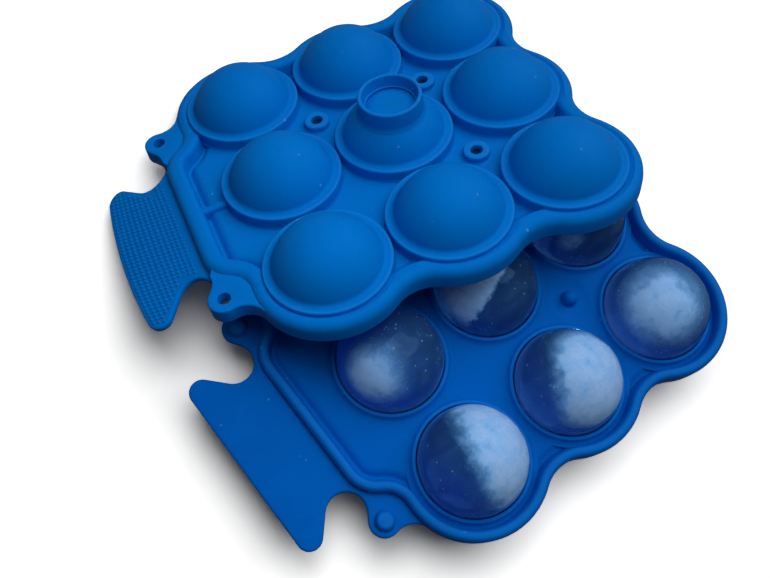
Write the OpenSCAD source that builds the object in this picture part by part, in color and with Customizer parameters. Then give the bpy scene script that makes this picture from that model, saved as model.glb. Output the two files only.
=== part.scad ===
// Ice ball mold: a silicone tray with nine cups, a matching lid leaning on it, and six ice balls.
// Millimetres. Z is up, the grip tab of the base points to -X, the lid leans over the back row at +Y.

/* [Balls] */
// Diameter of a finished ice ball
ball_d = 38; // [32:0.5:44]
// Gap between a frozen ball and its cup
ball_gap = 0.3; // [0.3:0.05:0.6]

/* [Cups and domes] */
// Wall thickness of cups and domes
wall = 1.3; // [1:0.1:1.8]
// Width of the ledge round each dome
ring_ledge = 1.3; // [1:0.1:1.8]
// Gap between neighbouring rings
ring_gap = 0.7; // [0.4:0.1:1.5]
// Height of the ring round each dome above the parting plane
ring_h = 7.2; // [5.5:0.1:8]
// Height cut off under each cup to give it a flat foot
foot_cut = 0.6; // [0.4:0.1:1]

/* [Plates] */
// Thickness of the tray floor and the lid plate
plate_t = 1.6; // [1.4:0.1:2]
// Depth of the tray floor below the cup lips
tray_drop = 1.8; // [1.2:0.1:2.4]

/* [Outline] */
// Width of the border outside the rings
border = 4.8; // [4.6:0.1:6]
// Radius of the hollows between neighbouring lobes
valley_r = 15; // [12:0.5:20]
// Distance from the first column of balls to the straight side
side_out = 37.4; // [36:0.2:41]
// Radius of the corners at the ends of the straight side
corner_r = 13.4; // [12:0.2:15]
// Radius of the hollow that each ear sits in
bay_r = 9; // [8:0.1:10]

/* [Rims] */
// Distance from the outline to the bead on the base
bead_in = 1.2; // [1:0.1:1.6]
// Width of the bead on the base
bead_w = 3.4; // [3:0.1:3.4]
// Height of the bead above the parting plane
bead_h = 2.6; // [2.2:0.1:3]
// Drop from the parting plane to the ledge where the two rims meet
ledge_drop = 1; // [0.8:0.1:1.1]
// Height of the outer skirt under that ledge
skirt_h = 4; // [3:0.2:6]
// Thickness of the skirt
skirt_t = 2; // [1.5:0.1:3]
// Height of the lid rim above the parting plane
rim_h = 6.5; // [6:0.1:7.2]
// Width of the lid rim
rim_w = 8.4; // [7.4:0.2:9]
// Radius of the rounded top of the lid rim
rim_round = 3.2; // [3:0.1:3.4]
// Gap between bead and lid rim
seal_gap = 0.3; // [0.2:0.05:0.3]

/* [Ears, pins and bosses] */
// Radius of the ears
ear_r = 5.5; // [5:0.1:6.5]
// Height of the lid ears above the parting plane
ear_h = 3.5; // [3.2:0.1:5]
// Diameter of the pegs on the base ears
peg_d = 6.8; // [6:0.1:7.2]
// Height of the pegs above the parting plane
peg_h = 1.2; // [0.8:0.1:1.4]
// Diameter of the hole through each lid ear
ear_hole_d = 4.9; // [3:0.1:5.4]
// Diameter of the pins between the cups
pin_d = 5.3; // [4:0.1:6]
// Height of the pins above the parting plane
pin_h = 2.4; // [1.8:0.1:2.6]
// Radius of the dish round each pin
dish_r = 8.5; // [6:0.1:9]
// Depth of the dish round each pin
dish_deep = 0.7; // [0.4:0.1:0.9]
// Diameter of the bosses on the lid
boss_d = 9.8; // [9:0.1:11]
// Height of the bosses above the parting plane
boss_h = 4.4; // [4:0.1:5.5]
// Diameter of the hole through each boss
boss_hole_d = 4.4; // [3:0.1:4.8]
// Gap between a peg or pin and its socket
plug_gap = 0.3; // [0.2:0.05:0.4]

/* [Collar and rib] */
// Outer diameter of the collar on the middle dome
collar_d = 23.4; // [20:0.2:26]
// Wall thickness of the collar
collar_t = 1.8; // [1.2:0.1:2.4]
// Height of the collar above the top of the dome
collar_up = 3.2; // [2.4:0.1:4.5]
// Thickness of the collar floor above the top of the dome
collar_floor = 0.5; // [0.4:0.1:1]
// Width of the rib between the lid rim and the middle ring
rib_w = 3; // [2:0.1:5]
// Height of the rib above the parting plane
rib_h = 4; // [3:0.1:5.5]

/* [Grip tabs] */
// Thickness of the grip tabs
tail_t = 2.6; // [2.2:0.1:2.8]
// Length of the grip tabs
tail_l = 25.2; // [22:0.2:34]
// Half width of the grip tabs at the tips
tail_half_w = 34.7; // [32:0.1:38]
// Radius of the tips
tip_r = 3.6; // [2.5:0.1:5]
// Radius of the hollow between ear and grip tab
notch_r = 6.9; // [6:0.1:7.2]
// Distance of that hollow from the straight side
notch_out = 6.6; // [6.2:0.1:7.2]
// Sideways shift of that hollow beyond the tip centre
notch_shift = 0.7; // [0.4:0.1:1.2]
// Gap at the bending root of the tabs
root_gap = 0.3; // [0.3:0.05:0.5]
// Downward bend of the lid tab as it rests
lid_tail_droop = 20; // [0:1:25]

/* [Lid as it leans] */
// Turn of the lid about the vertical
lid_turn = -13.8; // [-20:0.2:0]
// Sideways tilt of the lid
lid_roll = -2.2; // [-3:0.1:0]
// Backward tilt of the lid
lid_tilt = -20.1; // [-26:0.1:-20]
// Shift of the lid along X
lid_x = 7; // [4:0.2:10]
// Shift of the lid along Y past the back row of cups
lid_y = 17.5; // [17.5:0.2:25.5]
// Height of the lid above the bead that it leans on
lid_z = 0.41; // [0.4:0.01:5]

/* [Hidden] */
$fn = 96;
ball_r = ball_d / 2;
cup_r = ball_r + ball_gap;
shell_r = cup_r + wall;
ring_r = shell_r + ring_ledge;
pitch = 2 * ring_r + ring_gap;
edge_r = ring_r + border;
foot_z = shell_r - foot_cut;
tray_top = -tray_drop;
tray_bottom = tray_top - plate_t;
skirt_bottom = -ledge_drop - skirt_h;
bead_to = bead_in + bead_w;
channel_from = bead_in - seal_gap;
channel_to = bead_to + seal_gap;

// Plan geometry: outward distance of the hollows, corner centres and ear centres
valley_out = sqrt(pow(edge_r + valley_r, 2) - pow(pitch / 2, 2));
valley_a = atan2(valley_out, pitch / 2);
side_x = -pitch - side_out;
corner_x = side_x + corner_r;
corner_y = pitch / 2;
reach_corner = corner_r + bay_r;
reach_lobe = edge_r + bay_r;
span_x = -pitch - corner_x;
span_y = pitch - corner_y;
span = sqrt(span_x * span_x + span_y * span_y);
foot_along = (pow(reach_corner, 2) - pow(reach_lobe, 2) + span * span) / (2 * span);
foot_off = sqrt(pow(reach_corner, 2) - pow(foot_along, 2));
ear_x = corner_x + (span_x * foot_along - span_y * foot_off) / span;
ear_y = corner_y + (span_y * foot_along + span_x * foot_off) / span;
ear_lobe_a = atan2(pitch - ear_y, -pitch - ear_x);
ear_corner_a = atan2(ear_y - corner_y, corner_x - ear_x);
// Direction of the straight outer side of each ear, start of the web beside the grip tab, and its lap
ear_side_a = 270 - ear_lobe_a - asin((edge_r - ear_r) / reach_lobe);
web_a = 12;
web_lap = 0.2;
web_r = edge_r - web_lap;
ear_in = ear_r - web_lap;

// Grip tab geometry
root_r = tail_t / 2;
hinge_x = side_x - root_r - root_gap;
tail_x = side_x - tail_l;
notch_x = side_x - notch_out;
tip_x = tail_x + tip_r;
tip_y = tail_half_w - tip_r;
notch_y = tip_y + notch_shift;
join = sqrt(pow(notch_x - tip_x, 2) + pow(notch_y - tip_y, 2));
join_a = asin((tip_r + notch_r) / join) + atan2(notch_y - tip_y, notch_x - tip_x);
base_tail_z = -ledge_drop - root_r;
lid_tail_z = root_r - ledge_drop;

// Direction that the underside of the lid faces, and the crest of the bead that comes nearest to it
lean_x = cos(lid_tilt) * sin(lid_roll) * cos(lid_turn) + sin(lid_tilt) * sin(lid_turn);
lean_y = cos(lid_tilt) * sin(lid_roll) * sin(lid_turn) - sin(lid_tilt) * cos(lid_turn);
lean_z = cos(lid_tilt) * cos(lid_roll);
lean = sqrt(lean_x * lean_x + lean_y * lean_y);
bead_r = bead_w / 2;
crest_r = edge_r - bead_in - bead_r;
crest_x = sign(lean_x) * pitch + crest_r * lean_x / lean;
crest_y = pitch + crest_r * lean_y / lean;
crest_z = foot_z + bead_h - bead_r;

// Middle of the lid, so that it clears that crest by lid_z
lid_back = pitch + lid_y;
lid_up = crest_z + (bead_r + lid_z + lean_x * (crest_x - lid_x) + lean_y * (crest_y - lid_back)) / lean_z;

lobes = [[-1, -1], [0, -1], [1, -1], [1, 0], [1, 1], [0, 1], [-1, 1]];
cells = [[-1, 1], [0, 1], [1, 1], [-1, 0], [0, 0], [1, 0], [-1, -1], [0, -1], [1, -1]];
plugs = [[-1, 1], [1, 1], [1, -1]];

silicone = [0.02, 0.35, 0.72];
ice = [0.75, 0.85, 0.95, 0.6];

// Places a shape of the base, drawn about its parting plane
module on_base() {
    translate([0, 0, foot_z]) children();
}

// Places a shape of the lid, drawn about its parting plane
module on_lid() {
    translate([lid_x, lid_back, lid_up])
        rotate([0, 0, lid_turn])
            rotate([0, lid_roll, 0])
                rotate([lid_tilt, 0, 0])
                    children();
}

// Grid place of a cup or dome, by column and row
module at(cell) {
    translate([cell[0] * pitch, cell[1] * pitch, 0]) children();
}

// Plan outline of both halves, moved inward by d
module outline(d) {
    difference() {
        union() {
            for (c = lobes) at(c) circle(edge_r - d);
            for (s = [-1, 1]) translate([corner_x, s * corner_y]) circle(corner_r - d);
            polygon([
                [-pitch, -pitch], [-pitch / 2, -pitch - valley_out],
                [0, -pitch], [pitch / 2, -pitch - valley_out],
                [pitch, -pitch], [pitch + valley_out, -pitch / 2],
                [pitch, 0], [pitch + valley_out, pitch / 2],
                [pitch, pitch], [pitch / 2, pitch + valley_out],
                [0, pitch], [-pitch / 2, pitch + valley_out],
                [-pitch, pitch], [ear_x, ear_y],
                [corner_x, corner_y], [side_x + d, corner_y],
                [side_x + d, -corner_y], [corner_x, -corner_y],
                [ear_x, -ear_y]
            ]);
        }
        for (s = [-1, 1]) {
            for (x = [-1, 1]) translate([x * pitch / 2, s * (pitch + valley_out)]) circle(valley_r + d);
            translate([pitch + valley_out, s * pitch / 2]) circle(valley_r + d);
            translate([ear_x, s * ear_y]) circle(bay_r + d);
        }
    }
}

// Sweeps children, drawn with x inward from the outline and y up, along a lobe of the outline
module lobe_sweep(x, y, r, from, to) {
    translate([x, y, 0])
        rotate([0, 0, from])
            rotate_extrude(angle = to - from)
                translate([r, 0]) mirror([1, 0]) children();
}

// Sweeps children along a hollow of the outline
module hollow_sweep(x, y, r, from, to) {
    translate([x, y, 0])
        rotate([0, 0, from])
            rotate_extrude(angle = to - from)
                translate([r, 0]) children();
}

// Sweeps children along the straight side, its corners and the hollows of the ears
module side_sweep() {
    for (s = [0, 1]) mirror([0, s, 0]) {
        lobe_sweep(corner_x, -corner_y, corner_r, 180, 180 + ear_corner_a) children();
        hollow_sweep(ear_x, -ear_y, bay_r, -ear_lobe_a, ear_corner_a) children();
    }
    translate([side_x, corner_y, 0])
        rotate([90, 0, 0])
            linear_extrude(2 * corner_y) children();
}

// Sweeps children along the first two lobes of the front (0) or the back (1)
module row_sweep(back) {
    mirror([0, back, 0]) {
        lobe_sweep(-pitch, -pitch, edge_r, 180 - ear_lobe_a, 360 - valley_a) children();
        hollow_sweep(-pitch / 2, -pitch - valley_out, valley_r, valley_a, 180 - valley_a) children();
        lobe_sweep(0, -pitch, edge_r, 180 + valley_a, 360 - valley_a) children();
        hollow_sweep(pitch / 2, -pitch - valley_out, valley_r, valley_a, 180 - valley_a) children();
    }
}

// Sweeps children along the three lobes of the last column
module end_sweep() {
    for (s = [0, 1]) mirror([0, s, 0]) {
        lobe_sweep(pitch, -pitch, edge_r, 180 + valley_a, 450 - valley_a) children();
        hollow_sweep(pitch + valley_out, -pitch / 2, valley_r, 90 + valley_a, 270 - valley_a) children();
    }
    lobe_sweep(pitch, 0, edge_r, valley_a - 90, 90 - valley_a) children();
}

// Section of the base rim: skirt, ledge and a bead with a round top
module base_rim_section() {
    translate([0, skirt_bottom]) square([skirt_t, -ledge_drop - skirt_bottom]);
    translate([0, tray_bottom]) square([bead_to, -ledge_drop - tray_bottom]);
    translate([bead_in, -ledge_drop]) square([bead_w, bead_h - bead_r + ledge_drop]);
    translate([bead_in + bead_r, bead_h - bead_r]) circle(bead_r);
}

// Section of the lid rim: round top, inner slope, and the channel for the bead
module lid_rim_section() {
    top_z = rim_h - rim_round;
    slope_a = atan2(rim_h - plate_t, rim_w - rim_round);
    difference() {
        union() {
            translate([0, -ledge_drop]) square([rim_round, top_z + ledge_drop]);
            translate([rim_round, top_z]) circle(rim_round);
            polygon([
                [rim_round, 0], [rim_round, top_z],
                [rim_round + rim_round * sin(slope_a), top_z + rim_round * cos(slope_a)],
                [rim_w, plate_t], [rim_w, 0]
            ]);
        }
        translate([channel_from, -2 * ledge_drop])
            square([channel_to - channel_from, 2 * ledge_drop + bead_h + seal_gap]);
    }
}

// Plan of an ear at the front corner: the round ear and the web that joins it to the rim
module ear_plan() {
    difference() {
        union() {
            translate([ear_x, -ear_y]) circle(ear_r);
            polygon([
                [ear_x - ear_in, -ear_y], [ear_x - ear_in, -notch_y],
                [side_x, -notch_y], [side_x, -corner_y - corner_r * sin(web_a)],
                [corner_x, -corner_y], [-pitch, -pitch],
                [-pitch + web_r * cos(ear_side_a), -pitch + web_r * sin(ear_side_a)],
                [ear_x + ear_in * cos(ear_side_a), -ear_y + ear_in * sin(ear_side_a)]
            ]);
        }
        outline(0);
        translate([notch_x, -notch_y]) circle(notch_r);
    }
}

// Plan of a grip tab from its root to its tips
module tail_plan() {
    difference() {
        union() {
            for (s = [-1, 1]) translate([tip_x, s * tip_y]) circle(tip_r);
            polygon([
                [side_x, -notch_y], [notch_x, -notch_y],
                [tip_x + tip_r * sin(join_a), -tip_y - tip_r * cos(join_a)],
                [tip_x, -tip_y], [tail_x, -tip_y],
                [tail_x, tip_y], [tip_x, tip_y],
                [tip_x + tip_r * sin(join_a), tip_y + tip_r * cos(join_a)],
                [notch_x, notch_y], [side_x, notch_y]
            ]);
        }
        for (s = [-1, 1]) translate([notch_x, s * notch_y]) circle(notch_r);
    }
}

// Side view of a grip tab about its bending axis: a flat strip with a round root
module tail_section() {
    circle(root_r);
    translate([tail_x - hinge_x, -root_r]) square([hinge_x - tail_x, tail_t]);
}

// Grip tab about its bending axis
module tail() {
    intersection() {
        rotate([90, 0, 0]) linear_extrude(2 * pitch, center = true) tail_section();
        translate([-hinge_x, 0, -tail_t]) linear_extrude(2 * tail_t) tail_plan();
    }
}

// Cup of the base: a half ball with a lip at the parting plane and a flat foot
module cup(cell) {
    color(silicone) on_base() at(cell)
        difference() {
            intersection() {
                union() {
                    sphere(shell_r);
                    translate([0, 0, tray_bottom]) cylinder(h = -tray_bottom, r = shell_r);
                }
                translate([-shell_r, -shell_r, -foot_z]) cube([2 * shell_r, 2 * shell_r, foot_z]);
            }
            sphere(cup_r);
        }
}

// Dome of the lid: a half ball standing on a ring
module dome(cell) {
    color(silicone) on_lid() at(cell)
        difference() {
            union() {
                sphere(shell_r);
                cylinder(h = ring_h, r = ring_r);
            }
            sphere(cup_r);
            translate([-ring_r, -ring_r, -2 * ring_r]) cube([2 * ring_r, 2 * ring_r, 2 * ring_r]);
        }
}

// Plan of the strip between two rows of cups, counted from the back
module strip(i) {
    translate([2 * side_x, (2 - i) * pitch]) square([-4 * side_x, pitch]);
}

// Strip of the tray floor of the base, with a dish round each pin
module base_tray(i) {
    color(silicone) on_base()
        difference() {
            translate([0, 0, tray_bottom]) linear_extrude(plate_t)
                difference() {
                    intersection() {
                        outline(bead_to);
                        strip(i);
                    }
                    for (c = cells) at(c) circle(shell_r);
                }
            for (c = plugs) translate([0, 0, tray_top - dish_deep])
                at(c / 2) cylinder(h = plate_t, r = dish_r);
        }
}

// Rim of the base along the straight side
module base_rim_side() {
    color(silicone) on_base() side_sweep() base_rim_section();
}

// Rim of the base along the front (0) or the back (1)
module base_rim_row(back) {
    color(silicone) on_base() row_sweep(back) base_rim_section();
}

// Rim of the base along the last column
module base_rim_end() {
    color(silicone) on_base() end_sweep() base_rim_section();
}

// Ear of the base, at the front (0) or the back (1)
module base_ear(back) {
    color(silicone) on_base() mirror([0, back, 0])
        translate([0, 0, -ledge_drop - tail_t]) linear_extrude(tail_t) ear_plan();
}

// Peg on a base ear
module base_peg(back) {
    color(silicone) on_base() mirror([0, back, 0])
        translate([ear_x, -ear_y, -ledge_drop]) cylinder(h = peg_h + ledge_drop, d = peg_d);
}

// Pin between four cups of the base
module base_pin(cell) {
    dish_z = tray_top - dish_deep;
    color(silicone) on_base() at(cell / 2)
        translate([0, 0, dish_z]) cylinder(h = pin_h - dish_z, d = pin_d);
}

// Grip tab of the base
module base_tail() {
    color(silicone) on_base() translate([hinge_x, 0, base_tail_z]) tail();
}

// Strip of the plate of the lid, between rim and rings
module lid_plate(i) {
    color(silicone) on_lid() linear_extrude(plate_t)
        difference() {
            intersection() {
                outline(rim_w);
                strip(i);
            }
            for (c = cells) at(c) circle(ring_r);
            for (c = plugs) at(c / 2) circle(d = pin_d + 2 * plug_gap);
        }
}

// Room for the rings, cut out of the lid rim
module ring_room() {
    for (c = lobes) translate([0, 0, -2 * ledge_drop]) at(c) cylinder(h = 2 * rim_h, r = ring_r);
}

// Rim of the lid along the straight side
module lid_rim_side() {
    color(silicone) on_lid()
        difference() {
            side_sweep() lid_rim_section();
            ring_room();
        }
}

// Rim of the lid along the front (0) or the back (1)
module lid_rim_row(back) {
    color(silicone) on_lid()
        difference() {
            row_sweep(back) lid_rim_section();
            ring_room();
        }
}

// Rim of the lid along the last column
module lid_rim_end() {
    color(silicone) on_lid()
        difference() {
            end_sweep() lid_rim_section();
            ring_room();
        }
}

// Ear of the lid with a socket for the peg and a hole above it
module lid_ear(back) {
    color(silicone) on_lid() mirror([0, back, 0])
        difference() {
            translate([0, 0, -ledge_drop]) linear_extrude(ear_h + ledge_drop) ear_plan();
            translate([ear_x, -ear_y, -2 * ledge_drop]) {
                cylinder(h = 2 * ledge_drop + peg_h + plug_gap, d = peg_d + 2 * plug_gap);
                cylinder(h = 2 * ledge_drop + 2 * ear_h, d = ear_hole_d);
            }
        }
}

// Boss of the lid with a socket for the pin and a hole above it
module lid_boss(cell) {
    color(silicone) on_lid() at(cell / 2)
        difference() {
            translate([0, 0, plate_t]) cylinder(h = boss_h - plate_t, d = boss_d);
            cylinder(h = pin_h + plug_gap, d = pin_d + 2 * plug_gap);
            cylinder(h = 2 * boss_h, d = boss_hole_d);
        }
}

// Collar with a bare floor on the middle dome
module lid_collar() {
    top = shell_r + collar_up;
    color(silicone) on_lid()
        difference() {
            cylinder(h = top, d = collar_d);
            translate([0, 0, shell_r + collar_floor]) cylinder(h = top, d = collar_d - 2 * collar_t);
            sphere(shell_r);
        }
}

// Small rib from the lid rim to the middle ring of the first column
module lid_rib() {
    rib_from = side_x + rim_w;
    color(silicone) on_lid()
        difference() {
            translate([rib_from, -rib_w / 2, plate_t]) cube([-pitch - rib_from, rib_w, rib_h - plate_t]);
            at([-1, 0]) cylinder(h = 2 * ring_h, r = ring_r);
        }
}

// Grip tab of the lid, bent down as it rests
module lid_tail() {
    color(silicone) on_lid() translate([hinge_x, 0, lid_tail_z]) rotate([0, -lid_tail_droop, 0]) tail();
}

// Ball of ice in a cup
module ice_ball(cell) {
    color(ice) on_base() at(cell) sphere(ball_r);
}

base_tray(1);  // base_tray_1
base_tray(2);  // base_tray_2
base_tray(3);  // base_tray_3
base_tray(4);  // base_tray_4
base_rim_side();
base_rim_row(0);  // base_rim_front
base_rim_end();
base_rim_row(1);  // base_rim_back
cup(cells[0]);  // cup_a1
cup(cells[1]);  // cup_b1
cup(cells[2]);  // cup_c1
cup(cells[3]);  // cup_a2
cup(cells[4]);  // cup_b2
cup(cells[5]);  // cup_c2
cup(cells[6]);  // cup_a3
cup(cells[7]);  // cup_b3
cup(cells[8]);  // cup_c3
base_ear(1);  // base_ear_back
base_ear(0);  // base_ear_front
base_peg(1);  // base_peg_back
base_peg(0);  // base_peg_front
base_pin(plugs[0]);  // base_pin_1
base_pin(plugs[1]);  // base_pin_2
base_pin(plugs[2]);  // base_pin_3
base_tail();
lid_plate(1);  // lid_plate_1
lid_plate(2);  // lid_plate_2
lid_plate(3);  // lid_plate_3
lid_plate(4);  // lid_plate_4
lid_rim_side();
lid_rim_row(0);  // lid_rim_front
lid_rim_end();
lid_rim_row(1);  // lid_rim_back
dome(cells[0]);  // dome_a1
dome(cells[1]);  // dome_b1
dome(cells[2]);  // dome_c1
dome(cells[3]);  // dome_a2
dome(cells[4]);  // dome_b2
dome(cells[5]);  // dome_c2
dome(cells[6]);  // dome_a3
dome(cells[7]);  // dome_b3
dome(cells[8]);  // dome_c3
lid_ear(1);  // lid_ear_back
lid_ear(0);  // lid_ear_front
lid_boss(plugs[0]);  // lid_boss_1
lid_boss(plugs[1]);  // lid_boss_2
lid_boss(plugs[2]);  // lid_boss_3
lid_collar();
lid_rib();
lid_tail();
ice_ball(cells[3]);  // ice_a2
ice_ball(cells[4]);  // ice_b2
ice_ball(cells[5]);  // ice_c2
ice_ball(cells[6]);  // ice_a3
ice_ball(cells[7]);  // ice_b3
ice_ball(cells[8]);  // ice_c3
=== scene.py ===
import math

import bmesh
import bpy
from mathutils import Matrix, Vector, noise


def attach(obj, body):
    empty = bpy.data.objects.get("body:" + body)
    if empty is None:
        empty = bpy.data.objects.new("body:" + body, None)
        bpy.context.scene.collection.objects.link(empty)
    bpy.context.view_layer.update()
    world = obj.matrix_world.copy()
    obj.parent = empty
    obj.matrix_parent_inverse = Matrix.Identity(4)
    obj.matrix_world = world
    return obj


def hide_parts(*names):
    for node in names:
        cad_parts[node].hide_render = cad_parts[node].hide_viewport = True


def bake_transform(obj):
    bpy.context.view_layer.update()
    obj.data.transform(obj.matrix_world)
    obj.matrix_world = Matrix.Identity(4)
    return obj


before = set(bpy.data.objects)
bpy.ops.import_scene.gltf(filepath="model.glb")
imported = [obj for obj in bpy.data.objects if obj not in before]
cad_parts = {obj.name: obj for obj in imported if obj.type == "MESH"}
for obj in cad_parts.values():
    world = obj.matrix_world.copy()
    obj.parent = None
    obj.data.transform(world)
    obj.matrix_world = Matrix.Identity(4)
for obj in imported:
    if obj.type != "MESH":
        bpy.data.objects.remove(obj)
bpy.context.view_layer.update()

bl_info = {
    "name": "Ice ball mold",
    "version": (1, 0, 0),
    "blender": (4, 5, 0),
    "location": "View3D > Sidebar > Ice mold",
    "description": "Dresses the packed ice ball mold: silicone tray and lid, balls of ice and a studio",
    "category": "Object",
}

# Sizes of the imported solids, in millimetres
MM = 0.001
BALL_R = 19.0
CUP_R = 19.3
SHELL_R = 20.6
RING_R = 21.9
PITCH = 44.5
EDGE_R = 26.7
VALLEY_R = 15.0
CORNER_R = 13.4
BAY_R = 9.0
SIDE_X = -PITCH - 37.4
FOOT_Z = 20.0
RING_H = 7.2
TRAY_Z = -1.8
TRAY_UNDER = -3.4
LEDGE_Z = -1.0
SKIRT_Z = -5.0
RIM_H = 6.5
CHANNEL_FROM, CHANNEL_TO, CHANNEL_H = 0.9, 4.9, 2.9
PEG_R, PEG_TOP = 3.4, 1.2
EAR_SOCKET_R, EAR_SOCKET_TOP = 3.7, 1.5
PIN_R, PIN_TOP = 2.65, 2.4
DISH_R, DISH_Z = 8.5, -2.5
BOSS_R, BOSS_HOLE_R, BOSS_SOCKET_R, BOSS_SOCKET_TOP = 4.9, 2.2, 2.95, 2.7
COLLAR_R, COLLAR_IN, COLLAR_TOP = 11.7, 9.9, 23.8
TAIL_T, TAIL_L = 2.6, 25.2
NOTCH_R, NOTCH_X, NOTCH_Y = 6.9, SIDE_X - 6.6, 31.8
BASE_TAIL_Z, LID_TAIL_Z = -2.3, 0.3
LID_TAIL_DROOP = 20.0

# Sizes that the finish refines, in millimetres
DOME_UP, DOME_R = 0.6, 20.0
DOME_FOOT_R, DOME_FOOT_Z = 18.95, 6.8
PLATE_Z = 2.3
BOSS_TOP = 4.9
COLLAR_FLOOR = 19.6
RIM_ROUND = 3.2
GROOVE_TO, GROOVE_Z = 10.2, 0.2
BEAD_TO, BEAD_H = 4.6, 2.6
MOAT_TO, MOAT_Z = 7.3, -3.15
EAR_R, EAR_TOP, EAR_HOLE_R, FILLET_R = 5.5, 5.0, 2.3, 8.0
TIP_R, TIP_Y = 4.5, 30.2
BOW, BOW_FROM = 3.0, 8.0
CURL_L = 4.4
DOT_FOOT_R, DOT_TOP_R, DOT_H, DOT_MARGIN = 0.72, 0.28, 0.7, 1.5
RIB_W, RIB_TOP = 3.0, 4.4

# Plan of the outline, worked out as in the solids
VALLEY_OUT = math.sqrt((EDGE_R + VALLEY_R) ** 2 - (PITCH / 2) ** 2)
VALLEY_A = math.degrees(math.atan2(VALLEY_OUT, PITCH / 2))
CORNER_X, CORNER_Y = SIDE_X + CORNER_R, PITCH / 2
SPAN = Vector((-PITCH - CORNER_X, PITCH - CORNER_Y))
ALONG = ((CORNER_R + BAY_R) ** 2 - (EDGE_R + BAY_R) ** 2 + SPAN.length_squared) / (2 * SPAN.length)
OFF = math.sqrt((CORNER_R + BAY_R) ** 2 - ALONG ** 2)
EAR_X = CORNER_X + (SPAN.x * ALONG - SPAN.y * OFF) / SPAN.length
EAR_Y = CORNER_Y + (SPAN.y * ALONG + SPAN.x * OFF) / SPAN.length
EAR_LOBE_A = math.degrees(math.atan2(PITCH - EAR_Y, -PITCH - EAR_X))
EAR_CORNER_A = math.degrees(math.atan2(EAR_Y - CORNER_Y, CORNER_X - EAR_X))

COLUMNS = {"a": -1, "b": 0, "c": 1}
ROWS = {"1": 1, "2": 0, "3": -1}
PLUGS = [(-0.5, 0.5), (0.5, 0.5), (0.5, -0.5)]

# Places of the two halves, from millimetres about the parting plane to metres in the frame
TO_METRES = Matrix.Scale(MM, 4)
BASE = TO_METRES @ Matrix.Translation((0, 0, FOOT_Z))
LID = (
    TO_METRES
    @ Matrix.Translation((7.0, 62.0, FOOT_Z + 7.405))
    @ Matrix.Rotation(math.radians(-13.8), 4, "Z")
    @ Matrix.Rotation(math.radians(-2.2), 4, "Y")
    @ Matrix.Rotation(math.radians(-20.1), 4, "X")
)


def linear(code):
    """sRGB hex code to a linear RGBA colour."""
    parts = [int(code[i:i + 2], 16) / 255 for i in (1, 3, 5)]
    return [c / 12.92 if c <= 0.04045 else ((c + 0.055) / 1.055) ** 2.4 for c in parts] + [1.0]


class MoldProperties(bpy.types.PropertyGroup):
    """Sizes and colours of the finish"""

    lip_round: bpy.props.FloatProperty(
        name="Lip round", description="Rounding of the lips of cups and rings",
        default=0.0006, min=0.0002, max=0.0006, unit="LENGTH")
    tab_round: bpy.props.FloatProperty(
        name="Tab round", description="Rounding of the edges of tabs and ears",
        default=0.0008, min=0.0002, max=0.0011, unit="LENGTH")
    dot_pitch: bpy.props.FloatProperty(
        name="Dot spacing", description="Spacing of the raised dots on the grip tab",
        default=0.0018, min=0.0015, max=0.004, unit="LENGTH")
    lid_silicone: bpy.props.FloatVectorProperty(
        name="Lid", description="Colour of the lid's silicone", subtype="COLOR",
        size=3, min=0, max=1, default=linear("#0070C9")[:3])
    # The base is the same silicone as the lid; its deeper colour is painted shade, standing in for the shade
    # the base lies in under the lid
    base_silicone: bpy.props.FloatVectorProperty(
        name="Base", description="Colour of the base's silicone, a shade deeper", subtype="COLOR",
        size=3, min=0, max=1, default=linear("#0060C0")[:3])
    cloud: bpy.props.FloatVectorProperty(
        name="Cloudy ice", description="Colour of the cloudy part of the ice", subtype="COLOR",
        size=3, min=0, max=1, default=linear("#A0C8FA")[:3])


def add_node(tree, kind, links=None, **settings):
    """Adds a shader node with its settings, and links or sets its inputs."""
    made = tree.nodes.new(kind)
    for name, value in settings.items():
        setattr(made, name, value)
    for socket, value in (links or {}).items():
        if isinstance(value, bpy.types.NodeSocket):
            tree.links.new(value, made.inputs[socket])
        else:
            made.inputs[socket].default_value = value
    return made


def new_material(name):
    """An empty node material with its output."""
    material = bpy.data.materials.new(name)
    material.use_nodes = True
    material.node_tree.nodes.clear()
    return material, material.node_tree, material.node_tree.nodes.new("ShaderNodeOutputMaterial")


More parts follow.
